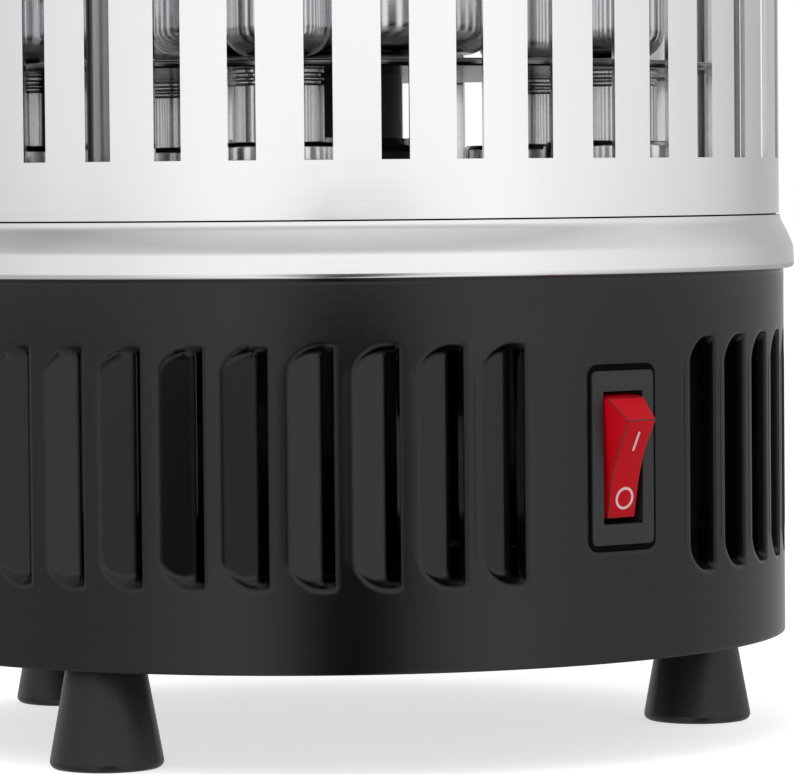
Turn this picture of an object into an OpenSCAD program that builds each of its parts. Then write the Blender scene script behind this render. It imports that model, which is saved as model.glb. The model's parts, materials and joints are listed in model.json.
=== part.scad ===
// Electric skewer grill: five upright skewers turn in their cups round a quartz
// heater, inside a slotted casing that lifts off a round base. Millimetres, +Z up,
// origin on the table under the middle of the base, -Y the side that is looked at.
// Azimuths count from -Y towards +X.

/* [Feet] */
// Height of the feet under the drum
foot_h = 19; // [12:1:30]
// Radius of a foot on the table
foot_bottom_r = 10.3; // [8.5:0.1:12]
// Radius of a foot against the drum
foot_top_r = 7.1; // [6:0.1:8]
// Distance of the foot centres inside the drum's outer face
foot_inset = 16; // [13:1:22]
// Rounding of a foot's lower edge
foot_edge = 1.2; // [0.4:0.1:2]

/* [Base drum] */
// Outer radius of the base drum
base_r = 88; // [87:1:100]
// Height of the base drum
base_h = 69; // [66:1:90]
// Thickness of the drum's sheet steel
sheet = 1.0; // [0.6:0.1:1.4]
// Thickness of the bottom plate
bottom_t = 1.2; // [0.8:0.1:2]

/* [Drum louvres] */
// Angle from one louvre to the next
louvre_pitch = 7.5; // [6.5:0.5:12]
// Azimuth of one louvre's open edge
louvre_az0 = -36.3; // [-40:0.1:-30]
// Width of a louvre, from the start of its panel to its open edge
louvre_w = 8.6; // [6:0.1:9]
// Height of a louvre
louvre_h = 43; // [20:1:44]
// Slope of a louvre's panel, inwards to the open edge
louvre_slope = 17.4; // [10:0.1:19]
// Width of the air slot between a louvre's panel and its lip
air_w = 2; // [1:0.1:3]
// Depth of the lip on the far side of the air slot
lip_d = 2.5; // [1.5:0.1:3]
// Height of the louvres' middle above the drum's lower edge
louvre_mid = 36.2; // [30:0.5:37]

/* [Switch] */
// Azimuth of the rocker switch
switch_az = 36.9; // [30:0.1:42]
// Height of the switch's middle above the drum's lower edge
switch_mid = 36.5; // [30:0.5:40]
// Width of the switch bezel
bezel_w = 14.2; // [13:0.1:16]
// Height of the switch bezel
bezel_h = 31; // [29:0.5:34]
// How far the bezel stands off its flat
bezel_t = 2.4; // [1.2:0.1:3]
// Width of the rocker's window
window_w = 9.1; // [8:0.1:10]
// Height of the rocker's window
window_h = 23.6; // [22:0.1:25]
// Angle that the rocker tips to each side of its middle
rocker_tip = 16; // [8:1:17]

/* [Collar] */
// Height of the collar between the drum and the casing
collar_h = 10; // [9:0.5:14]
// How far the collar's bead stands out past the drum
collar_bead = 2; // [1.5:0.1:3]
// Height over which the collar flares out from the casing to its bead
flare_h = 6.5; // [4:0.5:7]
// How far the collar's top edge stands out past the casing
collar_lip = 0.2; // [0:0.1:0.6]
// How far the seat under the casing's edge stands back from the casing's face
seat_back = 0.4; // [0.2:0.1:0.5]
// Height of the neck that stands inside the casing
neck_h = 9.3; // [7:0.1:9.6]
// Wall of the neck
neck_t = 1.2; // [0.8:0.1:1.6]

/* [Casing] */
// Step from the drum's face in to the casing's face
casing_step = 0.8; // [0.5:0.1:1.5]
// Thickness of the casing's sheet
casing_t = 0.9; // [0.6:0.1:1.2]
// Gap under the casing's lower edge, kept open by the collar's seat
casing_gap = 0.3; // [0.3:0.1:0.8]
// Height of the casing's sheet
casing_h = 246; // [236:1:280]
// Number of slot columns round the casing
slot_n = 40; // [20:1:40]
// Angle from one slot column to the next
slot_pitch = 8.82; // [7:0.01:8.85]
// Azimuth of one slot column
slot_az0 = 8.38; // [0:0.01:9]
// Width of a slot
slot_w = 5; // [3:0.1:7]
// Plain band over the highest slots, under the casing's top edge
slot_high = 13.6; // [12:0.1:30]
// Number of slot rows
slot_rows = 3; // [1:1:3]
// Plain band between two slot rows
slot_band = 9; // [6:1:14]
// Plain band under the lowest slots, above the casing's edge
slot_low = 10.4; // [9.8:0.1:14]

/* [Skewer stations] */
// Azimuth of the first station
station_az0 = -7.5; // [-12:0.5:12]
// Distance of the stations inside the casing's inner face
station_inset = 26.3; // [26.2:0.1:28]
// Radius of a skewer cup
cup_r = 9.7; // [8:0.1:12]
// Height of a skewer cup
cup_h = 24; // [18:1:30]
// Wall of a skewer cup
cup_t = 0.8; // [0.6:0.1:1.2]
// Rounding between a cup's wall and its bottom
cup_edge = 5; // [1.5:0.1:5.5]
// Radius of the turning spindles
spindle_r = 3; // [2.5:0.1:3.5]
// Radius of the hubs that the spindles turn in
hub_r = 8.3; // [6.5:0.1:10]
// Height of the hubs above the deck
hub_h = 16.7; // [14:0.1:20]
// Radius of the skewer rods
rod_r = 1.5; // [1.2:0.1:2]
// Room kept between the skewers' loops and the cover
skewer_clear = 15.25; // [8:0.05:20]
// Middle radius of the skewer's loop
loop_r = 6.5; // [5:0.5:7]

/* [Cup tray and deck] */
// Thickness of the cup tray
tray_t = 1.4; // [1:0.1:2]
// Gap between the cup tray and the casing's inner face
tray_gap = 10.3; // [10.3:0.1:14]
// Thickness of the deck
deck_t = 1.2; // [0.8:0.1:1.6]

/* [Gear train] */
// Teeth of the middle gear
sun_teeth = 54; // [50:2:54]
// Teeth of each station gear
planet_teeth = 26; // [22:2:26]
// Teeth of the motor's pinion
pinion_teeth = 14; // [14:2:16]
// Face width of the gears
gear_h = 8; // [5:0.5:9]
// Thickness of the gear plate
plate_t = 1.5; // [1.2:0.1:2.5]
// Radius of the column that the middle gear turns on
column_r = 11; // [10:0.5:12]
// Bore radius of that column, for the heater's wires
column_bore = 8; // [6:0.5:8.5]

/* [Motor] */
// Radius of the gear motor's can
motor_r = 24.5; // [20:0.5:25]
// Height of the gear motor
motor_h = 19; // [14:0.5:22]
// Distance of the motor's shaft from the can's middle
motor_off = 10; // [8:0.5:12]
// Distance of the motor's ears from the can's middle
ear_off = 29; // [27:0.5:30]

/* [Heater] */
// Radius of the heater's dark pedestal
pedestal_r = 15; // [13:0.5:17]
// Height of the pedestal above the deck
pedestal_h = 22; // [19:0.5:26]
// Radius of the polished dish round the heater's foot
dish_r = 32.7; // [30:0.1:38]
// Height of the dish
dish_h = 15; // [12:0.5:24]
// Height of the pressed foot that the dish stands on
dish_foot = 2.4; // [1:0.1:4]
// Radius of the quartz tube
quartz_r = 9; // [7:0.5:10]
// Wall of the quartz tube
quartz_t = 1.2; // [0.8:0.1:1.6]
// Radius of the ceramic caps
cap_r = 11.5; // [11:0.25:12]
// Turns of the heating coil
coil_turns = 22; // [10:1:24]

/* [Skewer holder] */
// Distance of the holder's upper face below the casing's top edge
holder_low = 24.8; // [23:0.1:34]
// Thickness of the holder plate
holder_t = 1.6; // [1.2:0.1:2.4]
// Gap between the holder plate and the casing's inner face
holder_gap = 2.3; // [1.3:0.1:2.3]
// Width of the holder's notches
notch_w = 6; // [5:0.1:8]
// Azimuth of the first holder post
post_az0 = -30; // [-32:1:-28]
// Radius of the holder posts
post_r = 3.5; // [2.5:0.1:3.8]

/* [Cover and knob] */
// Height of the rim that carries the cover
rim_h = 10; // [9:0.5:14]
// Rise of the cover's dome
dome_h = 12; // [8:1:20]
// Thickness of the cover
cover_t = 1.2; // [0.8:0.1:1.8]
// Radius of the knob
knob_r = 19; // [15:0.5:24]
// Height of the knob
knob_h = 17; // [14:1:24]

/* [Inlet] */
// Azimuth of the grommet for the mains lead
inlet_az = 180; // [176:1:184]
// Height of the grommet above the drum's lower edge
inlet_mid = 20; // [16:1:30]
// Bore radius of the grommet
inlet_bore = 3.6; // [2.5:0.1:4.5]

/* [Hidden] */
$fn = 64;
eps = 0.01;

run = 0.05;   // radial clearance of a shaft that turns in its bore
free = 0.3;   // gap between pieces that pass each other
seat = 0.1;   // gap of a piece that is pushed into its place
rest = 0.05;  // gap under a piece that only stands where it is and lifts off

// Heights, from the table up
drum_z = foot_h;
collar_z = drum_z + base_h;
casing_z = collar_z + collar_h;
deck_top = casing_z + neck_h + deck_t;
deck_z = deck_top - deck_t;
hub_top = deck_top + hub_h;
tray_top = hub_top + tray_t;
casing_bottom = casing_z + casing_gap;
casing_top = casing_bottom + casing_h;
holder_z = casing_top - holder_low - holder_t;

// Radii
drum_in = base_r - sheet;
casing_r = base_r - casing_step;
casing_in = casing_r - casing_t;
neck_r = casing_in - 0.4;
neck_in = neck_r - neck_t;
drum_lip = 5;
tray_r = casing_in - tray_gap;
holder_r = casing_in - holder_gap;

// Gears: the plate hangs under the collar, the gears lie on it
station_r = casing_in - station_inset;
gear_m = 2 * station_r / (sun_teeth + planet_teeth);
pinion_at = (sun_teeth + pinion_teeth) * gear_m / 2;
station_step = 72;
function station_az(k) = station_az0 + station_step * k;
pinion_az = station_az(3.5);
plate_drop = 8.5;
plate_z = collar_z - plate_drop - plate_t;
plate_top = plate_z + plate_t;
bush_flange = 2.2;
gear_z = plate_top + bush_flange + seat;
flange_r = 16;
flange_t = 2.2;
plate_inset = 8;
web_hole_r = 5;
web_t = 2;

// Tie pillars stand between the stations: azimuth and radius of each
pillar_r = 3.5;
pillar_out = 14;
pillar_spots = [
    [station_az(1.5), station_r + 2],
    [station_az(2.5), station_r + 2],
    [station_az(3.5), base_r - pillar_out],
    [station_az(4.5), station_r + 2]
];
screw_r = 1.5;
screw_head_r = 2.8;
screw_head_h = 2;
deep = 5;     // how far a screw reaches into what it holds

// Feet: azimuth of each, and the radius that they stand on
foot_azs = [-33.6, 94.7, -132.9];
foot_at = base_r - foot_inset;
foot_screw_r = 2;
foot_screw_up = 7;           // sole of the foot that the screw's head bears on
foot_head_r = 3.8;
foot_head_h = 2.4;
foot_nut_r = 3.4;
foot_nut_h = 2.6;

// Terminal block: three poles on a foot
block_az = 130;
block_at = 34;
pole_pitch = 9;
pole_w = 7;
pole_l = 12;
pole_h = 6;
block_foot = 7;
block_edge = 2;
block_l = 2 * pole_pitch + pole_w + 1.5 * block_edge;
block_w = pole_l + 2 * block_edge;
pole_bore = 1.5;

// Louvres: open edges at a steady pitch, left out at the switch and at the inlet
function turned(a) = a - 360 * round(a / 360);
louvre_half = asin(louvre_w / 2 / base_r);
louvre_start = base_r - sqrt(pow(base_r, 2) - pow(louvre_w, 2));   // fall of the round drum across a louvre
lip_x = 0.3;                 // from the open edge's azimuth to the lip's face
bowl_x = lip_x + air_w;      // middle line of a louvre's round ends
bowl_out = 4.5;              // middle of the ends, out from the drum's face
bowl_r = norm([louvre_w - bowl_x, louvre_start + bowl_out]) + 0.2;   // ends start a little before the panel
bowl_mid = louvre_h / 2 - sqrt(pow(bowl_r, 2) - pow(bowl_out, 2));
air_h = louvre_h - 3;
louvre_edges = [
    for (k = [0:floor(360 / louvre_pitch) - 1])
    let (az = louvre_az0 + louvre_pitch * k, mid = az - louvre_half)
    if (abs(turned(mid - switch_az)) > 10 && abs(turned(mid - inlet_az)) > 9) az
];

// Switch: the bezel's flat is set just deep enough into the round drum
flat_w = bezel_w + 1.7;
flat_h = bezel_h + 2.4;
flat_d = pow(flat_w / 2, 2) / (2 * base_r) + 0.12;
flat_edge = 2.2;
body_w = window_w + 2.7;
body_h = window_h + 3.8;
body_d = 17;
pivot_d = 2.5;               // depth of the rocker's pivot behind the flat
rocker_gap = 0.3;
rocker_w = window_w - 2 * rocker_gap;
rocker_r = window_h / 2 - rocker_gap;
rocker_dip = 5.6;            // from the pivot to the middle of the rocker's face
rocker_slope = 8.3;          // slope of each half of the face
trunnion_r = 1.4;
trunnion_l = 0.8;
blade_w = 4.8;
blade_t = 0.8;
blade_l = 7;
blade_pitch = 9;

// Posts: just outside the cup tray
post_at = tray_r + free + post_r;
post_azs = [for (k = [0, 2, 3]) post_az0 + station_step * k];
post_spigot = 2;
nut_r = 3.9;
nut_h = 3.2;

// Station stack
cup_z = tray_top + 0.7;
shoulder_z = cup_z - rest;
square = 4;                  // square drive of a spindle
square_h = 4.1;
skewer_square = 3;           // square foot of a skewer
socket_floor = cup_z + square_h + 1.6;
socket_h = 9;
boss_r = 4.2;
hub_flange_r = 13;
hub_flange_t = 3.4;
hub_spigot = 3.5;
hub_neck = 2.2;
groove = 0.6;
skewer_z = socket_floor + rest;

// Heater stack
ped_step = 1;                // fall from the pedestal's foot in to its wall
ped_foot_r = pedestal_r + 7;
ped_foot_h = 3.2;
ped_screw_at = pedestal_r + 3.5;
ped_screw_r = 1.2;
ped_head_r = 2.1;
ped_head_h = 1.5;
column_hole = column_r + run;
cap_sunk = 4;
lower_cap_z = deck_top + pedestal_h - cap_sunk;
lower_cap_h = 18;
upper_cap_h = 15;
upper_cap_z = holder_z - upper_cap_h;
upper_nose_r = 8;
upper_nose_h = 6;
tube_in_cap = 8;
quartz_z = lower_cap_z + lower_cap_h - tube_in_cap;
quartz_top = upper_cap_z + tube_in_cap;
coil_wire = 0.8;
coil_r = quartz_r - quartz_t - coil_wire - 0.8;
coil_end = 8;
coil_steps = 10;
core_r = (coil_r - coil_wire) * cos(180 / coil_steps) - 0.02;
core_bore = 2.2;
core_notch = 4;
lead_hole = 2.9;
lead_x = 1.6;
return_x = 1.2;

// Casing, rim, cover and knob
slot_h = (casing_h - slot_low - slot_high - (slot_rows - 1) * slot_band) / slot_rows;
slots_left = floor((slot_n - 1) / 2);
seam_az = slot_az0 + slot_pitch * ((slot_n - 1) / 2 - slots_left) + 180;
seam_w = 6.4;
rim_grip = 1.5;
rim_z = casing_top - rim_grip;
rim_r = casing_r + collar_bead + casing_step;
rim_in = casing_in - 1.5;
cover_z = rim_z + rim_h;
cover_r = rim_r - 2.5;
vent_inset = 21.5;
vent_l = 28;
vent_w = 4;
rod_top = cover_z - skewer_clear - 2 * loop_r - rod_r;
rod_l = rod_top - skewer_z;
knob_neck_r = 8;
knob_neck_h = 6;
knob_z = cover_z + dome_h;
inlet_hole = inlet_bore + 3.4;
inlet_flange = inlet_hole + 2;
inlet_proud = 1.8;

// Puts its children at an azimuth and a radius, with local -Y pointing outwards
module at(az, r = 0) {
    rotate([0, 0, az]) translate([0, -r, 0]) children();
}

module tube(r, r_in, h) {
    difference() {
        cylinder(r = r, h = h);
        translate([0, 0, -eps]) cylinder(r = r_in, h = h + 2 * eps);
    }
}

// Upright block with rounded corners, standing in the XZ plane and going d deep along +Y
module rounded_block(w, h, d, edge) {
    rotate([-90, 0, 0]) linear_extrude(d) union() {
        square([w - 2 * edge, h], center = true);
        square([w, h - 2 * edge], center = true);
        for (x = [-1, 1], z = [-1, 1])
            translate([x * (w / 2 - edge), z * (h / 2 - edge)]) circle(edge);
    }
}

// Round wire of so many sides along a path, its side vector carried from point to point
function unit(v) = v / norm(v);
function heading(path, i) = unit(path[min(i + 1, len(path) - 1)] - path[max(i - 1, 0)]);
function square_to(s, u) = unit(s - (s * u) * u);
function side_vectors(path) = [
    for (i = 0, s = square_to([1, 0.3, 0.2], heading(path, 0)); i < len(path);
         i = i + 1, s = i < len(path) ? square_to(s, heading(path, i)) : s) s
];
module wire(path, r, n) {
    sides = side_vectors(path);
    last = len(path) - 1;
    polyhedron(
        points = [
            for (i = [0:last]) let (s = sides[i], v = cross(heading(path, i), s))
            for (k = [0:n - 1]) path[i] + r * (s * cos(360 * k / n) + v * sin(360 * k / n))
        ],
        faces = concat(
            [[for (k = [n - 1:-1:0]) k]],
            [for (i = [0:last - 1], k = [0:n - 1]) let (a = i * n + k, b = i * n + (k + 1) % n)
                each [[a, b, a + n], [b, b + n, a + n]]],
            [[for (k = [0:n - 1]) last * n + k]]
        ),
        convexity = 6
    );
}

function arc(cx, cy, r, from, to, n) =
    [for (i = [0:n]) let (a = from + (to - from) * i / n) [cx + r * cos(a), cy + r * sin(a)]];

// Spur gear with involute flanks and stub teeth, one tooth centred on local -Y
gear_slack = 0.12;           // taken off each flank at the pitch circle
addendum = 0.8;
dedendum = 1.02;
flank_steps = 4;
function involute(a) = tan(a) * 180 / PI - a;
function flank(m, z, r) =
    let (rp = m * z / 2, rb = rp * cos(20), a = acos(min(1, rb / r)))
    90 / z + involute(20) - involute(a) - gear_slack / 2 / rp * 180 / PI;
function tooth(m, z) =
    let (rp = m * z / 2, rb = rp * cos(20), tip = rp + addendum * m, root = rp - dedendum * m,
        low = max(rb + 0.01, root))
    concat(
        [[root, -flank(m, z, low)]],
        [for (i = [0:flank_steps]) let (r = low + (tip - low) * i / flank_steps) [r, -flank(m, z, r)]],
        [for (i = [flank_steps:-1:0]) let (r = low + (tip - low) * i / flank_steps) [r, flank(m, z, r)]],
        [[root, flank(m, z, low)]]
    );
module gear_blank(m, z, h) {
    linear_extrude(h) polygon([
        for (k = [0:z - 1], p = tooth(m, z))
        [p[0] * sin(p[1] + 360 * k / z), -p[0] * cos(p[1] + 360 * k / z)]
    ]);
}
// Turn of a gear so that it meshes with the middle gear at this azimuth
function mesh_turn(az, z) =
    let (pitch = 360 / sun_teeth, off = az - pitch * round(az / pitch))
    off * sun_teeth / z + 180 / z;

// ---- Base ----

module louvre_bowl(extra) {
    // A flat panel that slopes inwards, in a hollow with round ends
    intersection() {
        translate([-louvre_w, louvre_start + extra, 0]) rotate([0, 0, louvre_slope])
            translate([-4, -12, -louvre_h]) cube([20, 12, 2 * louvre_h]);
        translate([-bowl_x, -bowl_out, 0]) union() {
            translate([0, 0, -bowl_mid]) cylinder(r = bowl_r + extra, h = 2 * bowl_mid);
            for (s = [-1, 1]) translate([0, 0, s * bowl_mid]) sphere(bowl_r + extra);
        }
        translate([-20, -4, -louvre_h]) cube([20 - lip_x + extra, 12, 2 * louvre_h]);
    }
}

module base_drum() {
    color("#2c2c2e") translate([0, 0, drum_z]) difference() {
        union() {
            tube(base_r, drum_in, base_h);
            translate([0, 0, base_h - sheet]) tube(base_r - sheet / 2, base_r - drum_lip, sheet);
            translate([0, 0, bottom_t]) tube(base_r - sheet / 2, base_r - drum_lip, sheet);
            for (az = louvre_edges) at(az, base_r) translate([0, 0, louvre_mid]) {
                intersection() {
                    louvre_bowl(sheet * 0.9);
                    translate([-20, sheet / 2, -40]) cube([40, 10, 80]);
                }
                translate([-lip_x - eps, sheet / 2, -air_h / 2])
                    cube([sheet * 0.9 + eps, lip_d - sheet / 2, air_h]);
            }
            at(switch_az, base_r) translate([0, flat_d, switch_mid])
                rounded_block(flat_w + 1, flat_h + 1, sheet, flat_edge);
        }
        for (az = louvre_edges) at(az, base_r) translate([0, 0, louvre_mid]) {
            louvre_bowl(0);
            translate([-bowl_x, -1, -air_h / 2]) cube([air_w, 6, air_h]);
        }
        at(switch_az, base_r) translate([0, flat_d, switch_mid]) {
            translate([0, -3, 0]) rounded_block(flat_w, flat_h, 3, flat_edge);
            translate([0, -1, 0]) rounded_block(body_w + 2 * seat, body_h + 2 * seat, 5, 1);
        }
        at(inlet_az, base_r) translate([0, -3, inlet_mid]) rotate([-90, 0, 0])
            cylinder(r = inlet_hole, h = 8);
    }
}

module bottom_plate() {
    color("#3a3a3c") translate([0, 0, drum_z]) difference() {
        cylinder(r = drum_in - seat, h = bottom_t);
        for (az = foot_azs) at(az, foot_at) translate([0, 0, -1]) cylinder(r = foot_screw_r, h = 4);
        for (p = pillar_spots) at(p[0], p[1]) translate([0, 0, -1]) cylinder(r = screw_r + 0.2, h = 4);
        for (k = [0:7]) at(22.5 + 45 * k, 30) translate([-2, -8, -1]) cube([4, 20, 4]);
    }
}

module foot(k) {
    color("#19191b") at(foot_azs[k], foot_at) difference() {
        rotate_extrude() polygon(concat(
            [[0, 0]],
            arc(foot_bottom_r - foot_edge, foot_edge, foot_edge, -90, 8, 5),
            [[foot_top_r, foot_h], [0, foot_h]]
        ));
        translate([0, 0, -1]) cylinder(r = foot_screw_r + 0.3, h = foot_h + 2);
        translate([0, 0, -1]) cylinder(r = foot_head_r + 0.7, h = foot_h - foot_screw_up + 1);
    }
}

module foot_screws() {
    head_z = foot_h - foot_screw_up;
    color("#8a8d90") for (az = foot_azs) at(az, foot_at) {
        translate([0, 0, head_z - foot_head_h]) cylinder(r = foot_head_r, h = foot_head_h);
        translate([0, 0, head_z - eps])
            cylinder(r = foot_screw_r, h = foot_screw_up + bottom_t + foot_nut_h + 0.6);
        translate([0, 0, drum_z + bottom_t]) cylinder(r = foot_nut_r, h = foot_nut_h, $fn = 6);
    }
}

module tie_pillars() {
    color("#a7a9ac") for (p = pillar_spots) at(p[0], p[1]) {
        translate([0, 0, drum_z + bottom_t]) difference() {
            cylinder(r = pillar_r, h = plate_z - drum_z - bottom_t, $fn = 6);
            translate([0, 0, -1]) cylinder(r = screw_r, h = deep + 1.5);
        }
        translate([0, 0, plate_top]) difference() {
            cylinder(r = pillar_r, h = deck_z - plate_top, $fn = 6);
            translate([0, 0, deck_z - plate_top - deep - 0.5]) cylinder(r = screw_r, h = deep + 1);
        }
    }
}

module pan_screw(l) {
    cylinder(r = screw_r, h = l);
    translate([0, 0, -screw_head_h]) rotate_extrude() polygon(concat(
        [[0, screw_head_h], [0, 0]],
        arc(screw_head_r - 1, 1, 1, -90, 0, 3),
        [[screw_head_r, screw_head_h]]
    ));
}

module pillar_screws() {
    color("#8a8d90") for (p = pillar_spots) at(p[0], p[1]) {
        translate([0, 0, drum_z]) pan_screw(deep + bottom_t);
        translate([0, 0, deck_top]) mirror([0, 0, 1]) pan_screw(deep + deck_t);
    }
}

module inlet_grommet() {
    color("#161618") at(inlet_az, base_r) translate([0, 0, drum_z + inlet_mid]) rotate([-90, 0, 0])
        rotate_extrude() polygon([
            [inlet_bore, -inlet_proud], [inlet_hole, -inlet_proud], [inlet_flange, -0.9], [inlet_flange, 0],
            [inlet_hole - seat, 0], [inlet_hole - seat, sheet + 0.5], [inlet_flange - 0.8, sheet + 0.5],
            [inlet_hole - 1, sheet + 4], [inlet_bore, sheet + 4]
        ]);
}

module terminal_block() {
    color("#e9e6dc") at(block_az, block_at) translate([0, 0, drum_z + bottom_t]) difference() {
        union() {
            translate([-block_l / 2, -block_w / 2, 0]) cube([block_l, block_w, block_foot]);
            for (k = [-1:1]) translate([k * pole_pitch - pole_w / 2, -pole_l / 2, block_foot - eps])
                cube([pole_w, pole_l, pole_h]);
        }
        for (k = [-1:1]) translate([k * pole_pitch, 0, block_foot + block_edge]) {
            translate([0, -block_w, 0]) rotate([-90, 0, 0]) cylinder(r = pole_bore, h = 2 * block_w);
            cylinder(r = pole_bore - 0.1, h = pole_h);
        }
    }
}

// ---- Drive ----

module gear_plate() {
    color("#b3b5b8") translate([0, 0, plate_z]) difference() {
        cylinder(r = base_r - plate_inset, h = plate_t);
        for (k = [0:4]) at(station_az(k), station_r) translate([0, 0, -1]) cylinder(r = spindle_r + 2, h = 5);
        translate([0, 0, -1]) cylinder(r = column_bore, h = 5);
        at(pinion_az, pinion_at) translate([0, 0, -1]) cylinder(r = 7, h = 5);
        at(pinion_az, pinion_at - motor_off) for (s = [-1, 1])
            rotate([0, 0, 45]) translate([s * ear_off, 0, -1]) cylinder(r = screw_r, h = 5);
        // Open at the switch's side, where the wires come up
        at(switch_az, base_r) translate([-12, -2, -1]) cube([24, 30, 5]);
    }
}

module gear_motor() {
    color("#c4c6c8") at(pinion_az, pinion_at - motor_off) translate([0, 0, plate_z - motor_h]) difference() {
        union() {
            cylinder(r = motor_r, h = motor_h);
            translate([0, 0, motor_h - 8]) cylinder(r = motor_r + 0.8, h = 1.2);
            translate([0, 0, motor_h - 2]) rotate([0, 0, 45]) {
                translate([-ear_off, -4.5, 0]) cube([2 * ear_off, 9, 2]);
                for (s = [-1, 1]) translate([s * ear_off, 0, 0]) cylinder(r = 5.5, h = 2);
            }
            translate([0, -motor_off, motor_h - 1]) cylinder(r = 6.5, h = plate_t + 1);
            translate([-9, motor_r - 3, 3]) cube([18, 7, 9]);
        }
        translate([0, -motor_off, motor_h - 8]) cylinder(r = spindle_r + run, h = 20);
        for (s = [-1, 1]) rotate([0, 0, 45]) translate([s * ear_off, 0, motor_h - 5])
            cylinder(r = screw_r + 0.2, h = 8);
    }
}

module motor_screws() {
    color("#8a8d90") at(pinion_az, pinion_at - motor_off) for (s = [-1, 1]) rotate([0, 0, 45])
        translate([s * ear_off, 0, plate_z - 2]) pan_screw(2 + plate_t);
}

module motor_pinion() {
    color("#d8d4c6") at(pinion_az, pinion_at) {
        translate([0, 0, gear_z]) rotate([0, 0, mesh_turn(pinion_az, pinion_teeth)])
            gear_blank(gear_m, pinion_teeth, gear_h);
        translate([0, 0, plate_z - 6]) cylinder(r = spindle_r, h = gear_z + gear_h + 1.5 - plate_z + 6);
    }
}

module sun_gear() {
    web_out = gear_m * sun_teeth / 2 - 4.5;
    web_in = column_r + 6.5;
    color("#e4e0d2") difference() {
        union() {
            translate([0, 0, gear_z]) gear_blank(gear_m, sun_teeth, gear_h);
            translate([0, 0, gear_z + gear_h - eps])
                cylinder(r = column_r + 4, h = deck_z - free - gear_z - gear_h + eps);
        }
        translate([0, 0, gear_z - 1]) cylinder(r = column_hole, h = 40);
        // Web thinned between the rim and the hub, with six holes
        translate([0, 0, gear_z + gear_h - web_t]) tube(web_out, web_in, web_t + 1);
        for (k = [0:5]) at(60 * k + 30, (web_in + web_out) / 2)
            translate([0, 0, gear_z - 1]) cylinder(r = web_hole_r, h = gear_h + 2);
    }
}

module planet_gear(k) {
    color("#e4e0d2") at(station_az(k), station_r) difference() {
        union() {
            translate([0, 0, gear_z]) rotate([0, 0, mesh_turn(station_az(k), planet_teeth)])
                gear_blank(gear_m, planet_teeth, gear_h);
            translate([0, 0, gear_z + gear_h - eps])
                cylinder(r = spindle_r + 3.5, h = deck_z - hub_spigot - free - gear_z - gear_h + eps);
        }
        translate([0, 0, gear_z - 1]) cylinder(r = spindle_r, h = 40);
        translate([0, 0, gear_z + gear_h - web_t])
            tube(gear_m * planet_teeth / 2 - 4, spindle_r + 5, web_t + 1);
    }
}

module spindle(k) {
    color("#c9ccd0") at(station_az(k), station_r) {
        translate([0, 0, plate_z - 3]) cylinder(r = spindle_r, h = shoulder_z - plate_z + 3);
        translate([-square / 2, -square / 2, shoulder_z - eps]) cube([square, square, square_h]);
    }
}

module spindle_bushes() {
    color("#b08d57") for (k = [0:4]) at(station_az(k), station_r) translate([0, 0, plate_z]) difference() {
        union() {
            translate([0, 0, -1.5]) cylinder(r = spindle_r + 2, h = plate_t + 1.5 + eps);
            translate([0, 0, plate_t]) cylinder(r = spindle_r + 3.5, h = bush_flange);
        }
        translate([0, 0, -3]) cylinder(r = spindle_r + run, h = 10);
    }
}

module spindle_hubs() {
    color("#7d7f82") for (k = [0:4]) at(station_az(k), station_r)
        rotate_extrude() polygon(concat(
            [[spindle_r + run, deck_z - hub_spigot], [hub_r - hub_neck, deck_z - hub_spigot],
             [hub_r - hub_neck, deck_top], [hub_flange_r, deck_top],
             [hub_flange_r, deck_top + hub_flange_t - 0.8], [hub_flange_r - 0.8, deck_top + hub_flange_t],
             [hub_r, deck_top + hub_flange_t]],
            [for (z = [hub_top - 2.9, hub_top - 1.6], p = [[0, 0], [groove, 0], [groove, 0.7], [0, 0.7]])
                [hub_r - p[0], z + p[1]]],
            [[hub_r, hub_top], [spindle_r + run, hub_top]]
        ));
}

module heater_column() {
    color("#a7a9ac") translate([0, 0, plate_top]) difference() {
        union() {
            cylinder(r = flange_r, h = flange_t);
            cylinder(r = column_r, h = deck_z - plate_top);
        }
        translate([0, 0, -1]) cylinder(r = column_bore, h = 40);
    }
}

// ---- Deck ----

module collar() {
    // An S of two equal arcs, hollow at the casing and full at the bead
    bead_r = base_r + collar_bead;
    lip_r = casing_r + collar_lip;
    turn = 2 * atan((bead_r - lip_r) / flare_h);
    bend = flare_h / 2 / sin(turn);
    edge = 0.4;
    color("#c9cacc") translate([0, 0, collar_z]) rotate_extrude() polygon(concat(
        [[neck_in, 0]],
        arc(bead_r - edge, edge, edge, -90, 0, 3),
        arc(bead_r - bend, collar_h - flare_h, bend, 0, turn, 6),
        arc(lip_r + bend, collar_h, bend, 180 + turn, 180, 6),
        [[casing_r - seat_back, collar_h], [casing_r - seat_back, collar_h + casing_gap - rest]],
        [[neck_r, collar_h + casing_gap - rest]],
        [[neck_r, collar_h + neck_h], [neck_in, collar_h + neck_h]]
    ));
}

module deck() {
    color("#303033") difference() {
        union() {
            translate([0, 0, deck_z]) cylinder(r = neck_r, h = deck_t);
            translate([0, 0, deck_z - 4]) tube(neck_in - seat, neck_in - seat - 0.8, 4 + eps);
        }
        for (k = [0:4]) at(station_az(k), station_r) translate([0, 0, deck_z - 1])
            cylinder(r = hub_r - hub_neck + seat, h = 4);
        for (az = post_azs) at(az, post_at) translate([0, 0, deck_z - 1]) cylinder(r = post_spigot, h = 4);
        for (p = pillar_spots) at(p[0], p[1]) translate([0, 0, deck_z - 1])
            cylinder(r = screw_r + 0.2, h = 4);
        for (k = [0:2]) at(120 * k, ped_screw_at) translate([0, 0, deck_z - 1])
            cylinder(r = ped_screw_r, h = 4);
        translate([0, 0, deck_z - 1]) cylinder(r = column_bore, h = 4);
    }
}

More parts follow.
